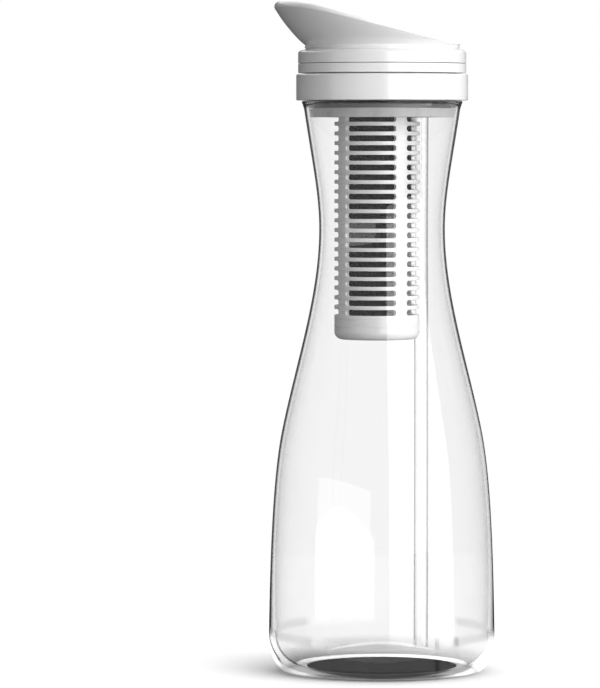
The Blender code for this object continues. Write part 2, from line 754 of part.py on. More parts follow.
clear_scene()
model = new_collection("water_filter_carafe")
tools = new_collection("cutters")
lid_axis = frame_empty("lid_axis")
head_axis = frame_empty("head_axis", lid_axis)
cartridge_axis = frame_empty("cartridge_axis", lid_axis)
port_tools = make_port_tools()
make_glass()
make_gasket(lid_axis)
make_plug(lid_axis, port_tools)
make_plug_floor(lid_axis)
make_collar(lid_axis)
make_shutter(lid_axis, head_axis, port_tools)
make_pivot(lid_axis)
make_vent_tube(lid_axis)
make_rings(head_axis)
make_spout(head_axis)
make_cage(cartridge_axis)
make_core(cartridge_axis)
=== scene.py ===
import math
import random

import bmesh
import bpy
from mathutils import Matrix, Vector
from mathutils.geometry import interpolate_bezier


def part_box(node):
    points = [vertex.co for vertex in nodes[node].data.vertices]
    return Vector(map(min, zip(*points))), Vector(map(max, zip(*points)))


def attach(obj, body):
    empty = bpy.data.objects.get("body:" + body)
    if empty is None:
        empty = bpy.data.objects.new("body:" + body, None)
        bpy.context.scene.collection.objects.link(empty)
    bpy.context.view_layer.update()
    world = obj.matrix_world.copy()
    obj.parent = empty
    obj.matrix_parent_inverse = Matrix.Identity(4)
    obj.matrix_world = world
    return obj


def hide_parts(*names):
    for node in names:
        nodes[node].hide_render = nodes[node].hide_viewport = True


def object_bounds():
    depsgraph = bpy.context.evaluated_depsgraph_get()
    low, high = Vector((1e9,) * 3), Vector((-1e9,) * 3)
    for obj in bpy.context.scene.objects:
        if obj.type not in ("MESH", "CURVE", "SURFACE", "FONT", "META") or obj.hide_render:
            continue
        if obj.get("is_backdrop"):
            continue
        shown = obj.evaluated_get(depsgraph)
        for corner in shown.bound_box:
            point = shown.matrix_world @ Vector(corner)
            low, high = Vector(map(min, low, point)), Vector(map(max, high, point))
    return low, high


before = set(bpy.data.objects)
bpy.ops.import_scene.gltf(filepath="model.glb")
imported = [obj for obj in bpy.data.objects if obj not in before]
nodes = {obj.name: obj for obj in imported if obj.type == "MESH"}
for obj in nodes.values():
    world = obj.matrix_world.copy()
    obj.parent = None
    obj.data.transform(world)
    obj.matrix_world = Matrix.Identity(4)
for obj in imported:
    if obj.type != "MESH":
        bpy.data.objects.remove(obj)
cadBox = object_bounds()
print("frame: %d CAD nodes" % len(nodes))

gap = 0.0003  # clearance between pieces that touch
weld = 0.000002  # points closer than this are one
roundSteps = 144  # facets round the large pieces
smallSteps = 64  # facets round the small ones
edgeSteps = 5  # facets of a rounded corner in a turned outline


# Modelling helpers


def finishPiece(bm, name, body, material, stands, sharp=32, weighted=True):
    # turns a bmesh into a piece that rides on a body and stands for its CAD node
    bmesh.ops.remove_doubles(bm, verts=bm.verts, dist=weld)
    bmesh.ops.recalc_face_normals(bm, faces=bm.faces)
    mesh = bpy.data.meshes.new(name)
    bm.to_mesh(mesh)
    bm.free()
    mesh.shade_smooth()
    mesh.set_sharp_from_angle(angle=math.radians(sharp))
    mesh.materials.append(material)
    piece = bpy.data.objects.new(name, mesh)
    bpy.context.scene.collection.objects.link(piece)
    if weighted:
        even = piece.modifiers.new("evenNormals", "WEIGHTED_NORMAL")
        even.keep_sharp = True
    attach(piece, body)
    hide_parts(*stands)
    return piece


def wireProfile(bm, corners, closed=True):
    # corners are (radius, height) or (radius, height, rounding); rounded ones get an arc
    dots = [bm.verts.new((corner[0], 0, corner[1])) for corner in corners]
    for first, second in zip(dots, dots[1:]):
        bm.edges.new((first, second))
    if closed:
        bm.edges.new((dots[-1], dots[0]))
    sizes = sorted({corner[2] for corner in corners if len(corner) > 2})
    for size in sizes:
        chosen = [dot for dot, corner in zip(dots, corners) if len(corner) > 2 and corner[2] == size]
        bmesh.ops.bevel(
            bm,
            geom=chosen,
            offset=size,
            offset_type="OFFSET",
            segments=edgeSteps,
            profile=0.5,
            affect="VERTICES",
            material=-1,
        )


def spinProfile(bm, steps, centre=(0, 0)):
    wire = list(bm.verts) + list(bm.edges)
    bmesh.ops.spin(
        bm,
        geom=wire,
        cent=(0, 0, 0),
        axis=(0, 0, 1),
        angle=math.tau,
        steps=steps,
        use_merge=True,
    )
    bmesh.ops.remove_doubles(bm, verts=bm.verts, dist=weld)
    bmesh.ops.translate(bm, verts=bm.verts, vec=(centre[0], centre[1], 0))


def turnPiece(name, corners, body, material, stands, centre=(0, 0), steps=roundSteps):
    bm = bmesh.new()
    wireProfile(bm, corners)
    spinProfile(bm, steps, centre)
    return finishPiece(bm, name, body, material, stands)


def arcDots(centre, width, height, start, end, steps):
    # an elliptical arc as (radius, height); angles in degrees, 0 outwards and 90 up
    dots = []
    for step in range(steps + 1):
        angle = math.radians(start + (end - start) * step / steps)
        dots.append((centre[0] + width * math.cos(angle), centre[1] + height * math.sin(angle)))
    return dots


def nodeSpan(name):
    # lowest and highest point, outer radius and axis of a round CAD node
    low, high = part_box(name)
    return {
        "low": low.z,
        "top": high.z,
        "radius": (high.x - low.x) / 2,
        "axis": ((high.x + low.x) / 2, (high.y + low.y) / 2),
    }


# Material helpers


def startMaterial(name, **inputs):
    material = bpy.data.materials.new(name)
    material.use_nodes = True
    tree = material.node_tree
    shader = tree.nodes["Principled BSDF"]
    for label, value in inputs.items():
        shader.inputs[label.replace("_", " ")].default_value = value
    return material, tree, shader


def objectPoint(tree, stretch=(1, 1, 1)):
    place = tree.nodes.new("ShaderNodeTexCoord")
    mapping = tree.nodes.new("ShaderNodeMapping")
    mapping.inputs["Scale"].default_value = stretch
    tree.links.new(place.outputs["Object"], mapping.inputs["Vector"])
    return mapping.outputs["Vector"]


def splitPoint(tree, point):
    split = tree.nodes.new("ShaderNodeSeparateXYZ")
    tree.links.new(point, split.inputs["Vector"])
    return [split.outputs[axis] for axis in "XYZ"]


def noiseValue(tree, point, scale, detail=3, roughness=0.5):
    noise = tree.nodes.new("ShaderNodeTexNoise")
    noise.inputs["Scale"].default_value = scale
    noise.inputs["Detail"].default_value = detail
    noise.inputs["Roughness"].default_value = roughness
    tree.links.new(point, noise.inputs["Vector"])
    return noise.outputs["Fac"]


def between(tree, value, low, high, start=0.3, end=0.7):
    # a ramp: low where the value is at the start or less, high where it is at the end or more
    spread = tree.nodes.new("ShaderNodeMapRange")
    spread.inputs["From Min"].default_value = start
    spread.inputs["From Max"].default_value = end
    spread.inputs["To Min"].default_value = low
    spread.inputs["To Max"].default_value = high
    tree.links.new(value, spread.inputs["Value"])
    return spread.outputs["Result"]


def mathValue(tree, operation, first, second):
    step = tree.nodes.new("ShaderNodeMath")
    step.operation = operation
    for socket, value in zip(step.inputs, (first, second)):
        if isinstance(value, (int, float)):
            socket.default_value = value
        else:
            tree.links.new(value, socket)
    return step.outputs["Value"]


def product(tree, *values):
    result = values[0]
    for value in values[1:]:
        result = mathValue(tree, "MULTIPLY", result, value)
    return result


def remainder(tree, value):
    # what the value leaves of 1
    return mathValue(tree, "SUBTRACT", 1, value)


def mixShaders(tree, value, first, second):
    mix = tree.nodes.new("ShaderNodeMixShader")
    tree.links.new(value, mix.inputs["Fac"])
    tree.links.new(first.outputs[0], mix.inputs[1])
    tree.links.new(second.outputs[0], mix.inputs[2])
    return mix


def mixColours(tree, value, first, second):
    # each colour is a tuple or another node's output
    mix = tree.nodes.new("ShaderNodeMix")
    mix.data_type = "RGBA"
    for label, colour in (("A", first), ("B", second)):
        if isinstance(colour, tuple):
            mix.inputs[label].default_value = (*colour, 1)
        else:
            tree.links.new(colour, mix.inputs[label])
    tree.links.new(value, mix.inputs["Factor"])
    return mix.outputs["Result"]


def addBump(tree, shader, value, depth, strength=1.0):
    bump = tree.nodes.new("ShaderNodeBump")
    bump.inputs["Distance"].default_value = depth
    bump.inputs["Strength"].default_value = strength
    tree.links.new(value, bump.inputs["Height"])
    tree.links.new(bump.outputs["Normal"], shader.inputs["Normal"])


# Finishes. A ramp in them is (value at its start, value at its end, start, end)

# White moulded plastic: nearly even, with faint flow tone, fine grain and handling marks
plasticLook = {
    "bright": 0.905,
    "dull": 0.875,
    "flowScale": 26,
    "grainScale": 1500,
    "grainDepth": 0.000006,
    "grainStrength": 0.5,
    "markScale": 70,
    "markStretch": (1, 1, 9),
    "markRoughness": 0.65,
    "gloss": 0.16,
    "satin": 0.27,
}


def makePlastic(name, shine=1.0, shade=1.0):
    look = plasticLook
    material, tree, shader = startMaterial(
        name, Specular_IOR_Level=0.9, IOR=1.5, Coat_Weight=0.25, Coat_Roughness=0.04
    )
    point = objectPoint(tree)
    flow = noiseValue(tree, point, look["flowScale"], detail=4)
    bright, dull = (look["bright"] * shade,) * 3, (look["dull"] * shade,) * 3
    tree.links.new(mixColours(tree, flow, dull, bright), shader.inputs["Base Color"])
    streaks = objectPoint(tree, look["markStretch"])
    marks = noiseValue(tree, streaks, look["markScale"], detail=6, roughness=look["markRoughness"])
    gloss = between(tree, marks, look["gloss"] * shine, look["satin"] * shine)
    tree.links.new(gloss, shader.inputs["Roughness"])
    grain = noiseValue(tree, point, look["grainScale"], detail=2)
    addBump(tree, shader, grain, look["grainDepth"], look["grainStrength"])
    return material


# Grey silicone: satin, a little see-through, with a dusty bloom, and painted shade above a given height
# where asked
siliconeLook = {
    "tone": (0.52, 0.525, 0.53),
    "bloom": (0.6, 0.605, 0.61),
    "bloomScale": 160,
    "bloomRamp": (0, 1, 0.35, 0.65),
    "glossRamp": (0.26, 0.4, 0, 1),
    "grainScale": 2400,
    "grainDepth": 0.00001,
    # painted shade for a recess under the collar, and the height over which it blends in
    "paintedShade": (0.2, 0.2, 0.205),
    "shadeBlend": 0.0004,
}


def makeSilicone(name, shadeFrom=None):
    # above the given height the silicone's colour darkens: painted shade of the recess under the collar
    look = siliconeLook
    material, tree, shader = startMaterial(
        name,
        Specular_IOR_Level=0.8,
        IOR=1.41,
        Subsurface_Weight=0.25,
        Subsurface_Radius=(0.001, 0.001, 0.001),
    )
    point = objectPoint(tree)
    bloom = between(tree, noiseValue(tree, point, look["bloomScale"], detail=5), *look["bloomRamp"])
    tone = mixColours(tree, bloom, look["tone"], look["bloom"])
    if shadeFrom:
        height = splitPoint(tree, point)[2]
        # painted shade: darker above the given height
        paintedShade = between(tree, height, 0, 1, shadeFrom, shadeFrom + look["shadeBlend"])
        tone = mixColours(tree, paintedShade, tone, look["paintedShade"])
    tree.links.new(tone, shader.inputs["Base Color"])
    tree.links.new(between(tree, bloom, *look["glossRamp"]), shader.inputs["Roughness"])
    addBump(tree, shader, noiseValue(tree, point, look["grainScale"], detail=2), look["grainDepth"])
    return material


# Clear glass and clear tube: a solid refracting wall, a touch uneven, with faint smears and a painted dark
# outline at the edges
clearLook = {
    "wallTone": 0.985,
    "smearTone": 0.972,
    "smearScale": 45,
    "smearRamp": (0, 1, 0.55, 0.75),
    "waveScale": 16,
    "waveDepth": 0.00002,
    "waveStrength": 0.4,
    "neckWider": (0, 0.06, 0.09, 0.17),  # over the height
    "rightFiner": (0, -0.05, 0.034, 0.045),  # over x
    # painted shade of the collar over the glass's lip
    "lipShade": (0, 0.95, 0.2541, 0.2545),  # over the height
    "lampTone": 0.93,
    "baseLight": (0.35, 0.93, 0.012, 0.022),  # over the height
    "baseZone": (1, 0, 0.014, 0.020),  # over the height
    "baseStraight": 0.96,
}

# Painted light and shade that the eye sees in the thick base. Skim is 0 where the glass faces the eye and 1
# at its edge
baseLook = {
    # the heel's curve as (from the axis, height); its outer side lies furthest from the centre
    "heelCentre": (0.042, 0.016),
    "heelSpread": (0.0087, 0.016),
    "heelOuter": 0.81,
    # painted shade: a dark lens standing for the floor's shadow under the base
    "lensAway": (1, 0, 0.0332, 0.0340),
    "lensHeight": (1, 0, 0.0032, 0.0034),
    "lensSkim": (0, 1, 0.6, 0.8),
    "lensDepth": 0.965,
    # painted shade: the part of the lens that reaches down into the front edge
    "lowLens": 0.0016,
    "lowLensCurve": 3.0,
    "lowLensBlend": (0, 1, -0.0002, 0.0002),
    "lowLensHeight": (1, 0, 0.0046, 0.0050),
    "lowLensDepth": 0.75,
    # painted highlight: a light ring round the lens
    "ringHeight": (0.45, 0, 0.0029, 0.0031),
    "ringSkim": (0, 1, 0.25, 0.45),
    # shaded inner corner
    "cornerFrom": (0, 1, 0.0029, 0.0033),
    "cornerHeight": (1, 0.12, 0.0031, 0.0095),
    "cornerTone": (0.27, 0.5, -0.045, 0.030),
    # painted shade on the grey front edge, and a painted contact shadow on the sole under it
    "edgeHeight": (1, 0, 0.0036, 0.0044),
    "edgeSkim": (0.78, 0.30, 0, 0.003),
    "edgeBlend": (1, 0, 0.02, 0.17),
    "edgeDepth": 0.74,
    "soleHeight": (1, 0, 0.0006, 0.0010),
    "soleDepth": 0.6,
    # painted dark outline, which leaves the edge of the glass towards the foot
    "lineSkim": (0.70, 0.86, 0.008, 0.0155),
    "lineStart": (0, 1, -0.03, 0),
    "lineEnd": (1, 0, 0.04, 0.07),
    "lineHeight": (0, 1, 0.004, 0.007),
    "lineDepth": (0.75, 0.05, -0.01, 0.03),
    "innerLineDepth": (0.5, 0.1, -0.02, 0.03),
    # painted light on the heel outside that outline
    "gainRight": (0, 0.17, 0.015, 0.035),
    "gainLow": (0.25, 0, 0.001, 0.006),
    "gainBlend": (0, 1, 0.02, 0.10),
    "gainLevel": (0.9, 1.8, 0, 0.03),
    "gainHeight": (1, 0, 0.010, 0.014),
}


def baseShade(tree, axes, backfacing, skim, outline):
    # painted light and shade on each surface of the thick base, as a factor on what the eye sees through
    # it: over 1 painted light, under 1 painted shade
    look = baseLook
    x, y, z = axes

    def ramp(value, name):
        return between(tree, value, *look[name])

    front = remainder(tree, backfacing)
    away = mathValue(tree, "ADD", product(tree, x, x), product(tree, y, y))
    away = mathValue(tree, "SQRT", away, 0)
    out = mathValue(tree, "MAXIMUM", mathValue(tree, "SUBTRACT", away, look["heelCentre"][0]), 0)
    down = mathValue(tree, "SUBTRACT", look["heelCentre"][1], z)
    squares = [
        mathValue(tree, "POWER", mathValue(tree, "DIVIDE", length, spread), 2)
        for length, spread in zip((out, down), look["heelSpread"])
    ]
    outer = mathValue(tree, "GREATER_THAN", mathValue(tree, "ADD", *squares), look["heelOuter"])
    inner = remainder(tree, outer)

    # painted shade of the lens over the floor
    lens = product(tree, ramp(away, "lensAway"), ramp(z, "lensHeight"), ramp(skim, "lensSkim"))
    # its low part reaches less far down towards its two ends
    lowest = mathValue(tree, "ADD", product(tree, x, x, look["lowLensCurve"]), look["lowLens"])
    over = mathValue(tree, "SUBTRACT", z, lowest)
    lowLens = product(tree, ramp(over, "lowLensBlend"), outer, ramp(z, "lowLensHeight"))
    corner = product(tree, ramp(z, "cornerFrom"), ramp(z, "cornerHeight"), inner)
    cornerDepth = remainder(tree, ramp(x, "cornerTone"))
    # the painted grey shade on the edge shows only where it faces the eye, whatever the height
    turned = mathValue(tree, "SUBTRACT", skim, ramp(z, "edgeSkim"))
    edge = product(tree, ramp(z, "edgeHeight"), outer, ramp(turned, "edgeBlend"))
    # painted contact shadow on the sole
    sole = product(tree, outer, ramp(z, "soleHeight"))
    # painted dark outlines on the heel, and on its inner side from the glass's outline
    past = mathValue(tree, "SUBTRACT", skim, ramp(z, "lineSkim"))
    line = product(tree, ramp(past, "lineStart"), ramp(past, "lineEnd"), outer, ramp(z, "lineHeight"))
    innerLine = product(tree, outline, inner)
    # painted highlight: the ring round the lens
    ring = product(
        tree, inner, ramp(z, "ringHeight"), front, remainder(tree, lens), ramp(skim, "ringSkim")
    )
    # painted light: the heel brightens what is seen through it
    wider = mathValue(tree, "MAXIMUM", ramp(x, "gainRight"), ramp(z, "gainLow"))
    paintedLight = ramp(mathValue(tree, "ADD", past, wider), "gainBlend")
    paintedLight = product(tree, paintedLight, ramp(x, "gainLevel"), outer, front, ramp(z, "gainHeight"))

    shade = mathValue(tree, "ADD", 1, mathValue(tree, "ADD", paintedLight, ring))
    for seen, depth, part in (
        (front, look["lensDepth"], lens),
        (front, cornerDepth, corner),
        (front, look["edgeDepth"], edge),
        (front, look["lowLensDepth"], lowLens),
        (front, look["soleDepth"], sole),
        (front, ramp(x, "lineDepth"), line),
        (backfacing, ramp(x, "innerLineDepth"), innerLine),
    ):
        shade = product(tree, shade, remainder(tree, product(tree, seen, depth, part)))
    return shade


def makeClear(name, index, rim, rimShade, before, heavyBase=False):
    # rim is how far the surface turns from the eye, 0 to 1, where its painted dark outline starts and ends;
    # before is how many clear surfaces that outline is still seen through
    look = clearLook
    material, tree, shader = startMaterial(name, Roughness=0.0, IOR=index, Transmission_Weight=1.0)
    point = objectPoint(tree)
    x, y, z = splitPoint(tree, point)
    path = tree.nodes.new("ShaderNodeLightPath")
    skim = tree.nodes.new("ShaderNodeLayerWeight").outputs["Facing"]
    backfacing = tree.nodes.new("ShaderNodeNewGeometry").outputs["Backfacing"]
    smears = between(tree, noiseValue(tree, point, look["smearScale"]), *look["smearRamp"])
    surface = mixColours(tree, smears, (look["wallTone"],) * 3, (look["smearTone"],) * 3)
    turned = skim
    if heavyBase:
        # the painted dark outline is wider at the neck and finer on the right, where the softbox is
        right = between(tree, x, *look["rightFiner"])
        wider = mathValue(tree, "ADD", between(tree, z, *look["neckWider"]), right)
        turned = mathValue(tree, "ADD", skim, wider)
    # painted shade: a dark outline near the edges, where dark surroundings would show in the glass
    outline = between(tree, turned, 0, 1, *rim)
    seen = mathValue(tree, "LESS_THAN", path.outputs["Transmission Depth"], before + 0.5)
    dark = product(tree, outline, seen)
    if heavyBase:
        base = between(tree, z, *look["baseZone"])
        dark = product(tree, dark, remainder(tree, base))
        # painted shade: the lip under the collar is darkened
        dark = mathValue(tree, "MAXIMUM", dark, between(tree, z, *look["lipShade"]))
    # the painted dark outline and the painted lip shade darken the glass's colour
    tree.links.new(mixColours(tree, dark, surface, (rimShade,) * 3), shader.inputs["Base Color"])
    waves = noiseValue(tree, point, look["waveScale"], detail=1)
    addBump(tree, shader, waves, look["waveDepth"], look["waveStrength"])

    # lamps, soft light and reflections that come from the air pass the wall straight
    passed = mathValue(tree, "GREATER_THAN", path.outputs["Transparent Depth"], 0.5)
    fromAir = mathValue(tree, "MAXIMUM", remainder(tree, backfacing), passed)
    mirrored = product(tree, path.outputs["Is Reflection Ray"], fromAir)
    soft = mathValue(tree, "MAXIMUM", path.outputs["Is Shadow Ray"], path.outputs["Is Diffuse Ray"])
    straight = mathValue(tree, "MAXIMUM", soft, mirrored)
    passing = tree.nodes.new("ShaderNodeBsdfTransparent")
    passing.inputs["Color"].default_value = (look["lampTone"],) * 3 + (1,)
    if heavyBase:
        # the base holds part of the lamps' light back, and the eye looks through it nearly straight, with
        # painted light and shade on its colour
        shade = baseShade(tree, (x, y, z), backfacing, skim, outline)
        held = tree.nodes.new("ShaderNodeMix")
        tree.links.new(remainder(tree, soft), held.inputs["Factor"])
        tree.links.new(between(tree, z, *look["baseLight"]), held.inputs["A"])
        tree.links.new(shade, held.inputs["B"])
        tree.links.new(held.outputs["Result"], passing.inputs["Color"])
        straight = mathValue(tree, "MAXIMUM", straight, product(tree, base, look["baseStraight"]))
    mix = mixShaders(tree, straight, shader, passing)
    tree.links.new(mix.outputs["Shader"], tree.nodes["Material Output"].inputs["Surface"])
    return material


# Pressed carbon: black crushed grains, a few paler ones, partly their own tone and partly painted glints,
# and facets catching the light
carbonLook = {
    "dark": 0.0012,
    "pale": 0.03,
    "paleRamp": (0, 1, 0.7, 1.0),
    "glossRamp": (0.3, 0.8, 0, 1),
    "shine": 0.1,
    "grainScale": 620,
    "dustScale": 2480,
    "dustDepth": 0.00008,
}


def makeCarbon(name):
    look = carbonLook
    material, tree, shader = startMaterial(name, Specular_IOR_Level=look["shine"])
    point = objectPoint(tree)
    cells = tree.nodes.new("ShaderNodeTexVoronoi")
    cells.inputs["Scale"].default_value = look["grainScale"]
    tree.links.new(point, cells.inputs["Vector"])
    split = tree.nodes.new("ShaderNodeSeparateColor")
    tree.links.new(cells.outputs["Color"], split.inputs["Color"])
    # paler grains at random: partly their own tone, partly painted glints
    pale = between(tree, split.outputs["Red"], *look["paleRamp"])
    tone = mixColours(tree, pale, (look["dark"],) * 3, (look["pale"],) * 3)
    tree.links.new(tone, shader.inputs["Base Color"])
    tree.links.new(between(tree, split.outputs["Green"], *look["glossRamp"]), shader.inputs["Roughness"])
    addBump(tree, shader, noiseValue(tree, point, look["dustScale"], detail=4), look["dustDepth"])
    return material


# Stainless steel with fine brushed lines
steelLook = {
    "dark": (0.62, 0.62, 0.63),
    "bright": (0.74, 0.74, 0.76),
    "gloss": (0.18, 0.36),
    "lineStretch": (1, 1, 30),
    "lineScale": 500,
    "lineDepth": 0.000008,
}


def makeSteel(name):
    look = steelLook
    material, tree, shader = startMaterial(name, Metallic=1.0)
    lines = noiseValue(tree, objectPoint(tree, look["lineStretch"]), look["lineScale"], detail=4)
    tree.links.new(mixColours(tree, lines, look["dark"], look["bright"]), shader.inputs["Base Color"])
    tree.links.new(between(tree, lines, *look["gloss"]), shader.inputs["Roughness"])
    addBump(tree, shader, lines, look["lineDepth"])
    return material


# Off-white filter fleece
fleeceLook = {
    "dark": (0.74, 0.74, 0.71),
    "bright": (0.9, 0.9, 0.87),
    "fibreStretch": (1, 1, 0.35),
    "fibreScale": 2600,
    "fibreRoughness": 0.7,
    "fibreDepth": 0.0001,
}


def makeFleece(name):
    look = fleeceLook
    material, tree, shader = startMaterial(name, Roughness=0.9, Sheen_Weight=0.3)
    point = objectPoint(tree, look["fibreStretch"])
    fibres = noiseValue(tree, point, look["fibreScale"], detail=6, roughness=look["fibreRoughness"])
    tree.links.new(mixColours(tree, fibres, look["dark"], look["bright"]), shader.inputs["Base Color"])
    addBump(tree, shader, fibres, look["fibreDepth"])
    return material


glossWhite = makePlastic("glossWhite")
ribWhite = makePlastic("ribWhite", shine=1.35, shade=0.985)
innerWhite = makePlastic("innerWhite", shine=1.6, shade=0.97)
greySilicone = makeSilicone("greySilicone")
# the sleeve above the band gets painted shade, where the collar shades it
gasketSilicone = makeSilicone("gasketSilicone", shadeFrom=0.2522)
clearGlass = makeClear(
    "clearGlass", index=1.47, rim=(0.77, 0.83), rimShade=0.01, before=0, heavyBase=True
)
clearTube = makeClear("clearTube", index=1.49, rim=(0.29, 0.41), rimShade=0.22, before=2)
blackCarbon = makeCarbon("blackCarbon")
brushedSteel = makeSteel("brushedSteel")
paleFleece = makeFleece("paleFleece")
print("materials made")


# The CAD nodes that stay, mostly inside the lid and the cartridge
keptFinishes = {
    "lid_plug": innerWhite,
    "plug_floor": innerWhite,
    "shutter_cup": innerWhite,
    "cartridge_cap": innerWhite,
    "core_tube": innerWhite,
    "shutter_seal": greySilicone,
    "spigot_o_ring": greySilicone,
    "rotor_o_ring": greySilicone,
    "top_pad": greySilicone,
    "bottom_pad": greySilicone,
    "pivot_washer": brushedSteel,
    "pivot_screw": brushedSteel,
    "core_fleece": paleFleece,
}
for name, finish in keptFinishes.items():
    nodes[name].data.materials.clear()
    nodes[name].data.materials.append(finish)


# Glass carafe: shoulder and waist are (radius, height), and a slope is outwards over upwards.
# Holds say for what share of a stretch's rise the slopes at its low and its high end hold
carafe = {
    "heelHeight": 0.016,
    "heelWidth": 0.0087,
    "contactWidth": 0.0035,
    "puntEdge": 0.0035,
    "puntDepth": 0.0010,
    "puntCrown": 0.0003,
    "puntStep": (0.5, 0.7),  # a point on the way up, as shares of the edge and the depth
    "puntRoundings": (0.0008, 0.0006, 0.0012),
    "floor": 0.0023,
    "cornerWidth": 0.0143,
    "wall": 0.0018,
    "heelWall": 0.0029,
    "taperTop": 0.062,
    "shoulder": (0.04465, 0.108),
    "waist": (0.028054, 0.198),
    "mouthRadius": 0.035358,
    "bead": 0.0005,
    "beadShape": (0.6, 0.7),  # half its width and height, as shares of half the wall
    "heelSlope": -0.017,
    "shoulderSlope": -0.20,
    "mouthSlope": 0.145,
    "bellyHolds": (0.43, 0.22),
    "flankHolds": (0.33, 0.33),
    "neckHolds": (0.284, 0.461),
    "dotsPerStretch": 22,
}


def sideStretch(start, startSlope, end, endSlope, holds):
    rise = end[1] - start[1]
    startHold, endHold = holds
    leave = (start[0] + startSlope * startHold * rise, start[1] + startHold * rise)
    arrive = (end[0] - endSlope * endHold * rise, end[1] - endHold * rise)
    knots = [Vector((*knot, 0)) for knot in (start, leave, arrive, end)]
    return [(dot.x, dot.y) for dot in interpolate_bezier(*knots, carafe["dotsPerStretch"])]


def glassSide():
    # the outer side, from the heel up to the mouth
    span = nodeSpan("glass_carafe")
    heel = (span["radius"], carafe["heelHeight"])
    mouth = (carafe["mouthRadius"], span["top"])
    shoulder, waist = carafe["shoulder"], carafe["waist"]
    bend = carafe["shoulderSlope"]
    belly = sideStretch(heel, carafe["heelSlope"], shoulder, bend, carafe["bellyHolds"])
    flank = sideStretch(shoulder, bend, waist, 0, carafe["flankHolds"])
    neck = sideStretch(waist, 0, mouth, carafe["mouthSlope"], carafe["neckHolds"])
    return belly + flank[1:] + neck[1:]


def glassInside(side):
    # the side moved in by the wall, square to itself; the wall grows towards the heel
    inside = []
    taperRise = carafe["taperTop"] - carafe["heelHeight"]
    for index, (radius, height) in enumerate(side):
        below = side[max(index - 1, 0)]
        above = side[min(index + 1, len(side) - 1)]
        slope = (above[0] - below[0]) / (above[1] - below[1])
        low = max(0, (carafe["taperTop"] - height) / taperRise)
        wall = carafe["wall"] + (carafe["heelWall"] - carafe["wall"]) * low**2
        inside.append((radius - wall * math.hypot(1, slope), height))
    return inside


def buildCarafe():
    side = glassSide()
    inside = glassInside(side)
    top = nodeSpan("glass_carafe")["top"]
    heelHeight, heelWidth = carafe["heelHeight"], carafe["heelWidth"]
    cornerWidth = carafe["cornerWidth"]
    cornerMiddle = (inside[0][0] - cornerWidth, heelHeight)
    corner = arcDots(cornerMiddle, cornerWidth, heelHeight - carafe["floor"], start=-90, end=0, steps=18)
    heelMiddle = (side[0][0] - heelWidth, heelHeight)
    heel = arcDots(heelMiddle, heelWidth, heelHeight, start=0, end=-90, steps=22)
    half = carafe["wall"] / 2
    beadWidth, beadHeight = (half * share for share in carafe["beadShape"])
    beadMiddle = carafe["mouthRadius"] + carafe["bead"] - beadWidth
    rim = arcDots((carafe["mouthRadius"] - half, top - half), half, half, start=170, end=90, steps=5)
    rim += arcDots((beadMiddle, top - beadHeight), beadWidth, beadHeight, start=90, end=-60, steps=10)
    contact = heel[-1][0] - carafe["contactWidth"]
    inward, upward = carafe["puntStep"]
    roundings = carafe["puntRoundings"]
    punt = [
        (contact, 0, roundings[0]),
        (contact - carafe["puntEdge"] * inward, carafe["puntDepth"] * upward, roundings[1]),
        (contact - carafe["puntEdge"], carafe["puntDepth"], roundings[2]),
        (0, carafe["puntDepth"] + carafe["puntCrown"]),
    ]
    floorMiddle = (0, carafe["floor"] + carafe["puntCrown"])
    outline = [floorMiddle, *corner, *inside[1:-1], *rim, *reversed(side[1:-1]), *heel, *punt]
    bm = bmesh.new()
    wireProfile(bm, outline, closed=False)
    spinProfile(bm, roundSteps)
    stands = ["glass_carafe"]
    finishPiece(
        bm, "carafe_glass", "carafe", clearGlass, stands, sharp=80, weighted=False
    )


buildCarafe()
print("glass carafe built")


# Neck gasket: a sleeve round the plug and a band against the neck
gasket = {
    "sleeveInner": 0.029004,
    "sleeveRadius": 0.030704,
    "bandHeight": 0.0042,
    "bandDip": 0.00012,
    "edge": 0.00035,
}


def buildGasket():
    span = nodeSpan("neck_gasket")
    inside = glassInside(glassSide())

    def neckRadius(height):
        near = sorted(inside, key=lambda dot: abs(dot[1] - height))[:2]
        first, second = sorted(near, key=lambda dot: dot[1])
        share = (height - first[1]) / (second[1] - first[1])
        return first[0] + (second[0] - first[0]) * share - gap

    bandTop = span["low"] + gasket["bandHeight"]
    bandMiddle = (span["low"] + bandTop) / 2
    corners = [
        (gasket["sleeveInner"], span["top"]),
        (gasket["sleeveRadius"], span["top"]),
        (gasket["sleeveRadius"], bandTop, gasket["edge"]),
        (neckRadius(bandTop), bandTop, gasket["edge"]),
        (neckRadius(bandMiddle) - gasket["bandDip"], bandMiddle),
        (neckRadius(span["low"]), span["low"], gasket["edge"]),
        (gasket["sleeveInner"], span["low"]),
    ]
    turnPiece("gasket_ring", corners, "lid", gasketSilicone, ["neck_gasket"])


buildGasket()

# Collar band: outer skin with a bright chamfer, a web, and the wall of the head's bore
collar = {
    "outerInner": 0.036334,
    "bore": 0.029844,
    "boreWall": 0.0020,
    "boreEdge": 0.0003,
    "web": 0.0018,
    "chamfer": 0.00065,
    "foot": 0.0003,
}


def buildCollar():
    span = nodeSpan("collar_band")
    webLow = span["top"] - collar["web"]
    boreWall = collar["bore"] + collar["boreWall"]
    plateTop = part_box("lid_plug")[1].z + gap
    corners = [
        (collar["bore"], span["top"], collar["boreEdge"]),
        (span["radius"], span["top"], collar["chamfer"]),
        (span["radius"], span["low"], collar["foot"]),
        (collar["outerInner"], span["low"], collar["foot"]),
        (collar["outerInner"], webLow),
        (boreWall, webLow),
        (boreWall, plateTop),
        (collar["bore"], plateTop),
    ]
    turnPiece("collar_skin", corners, "lid", glossWhite, ["collar_band"])


buildCollar()

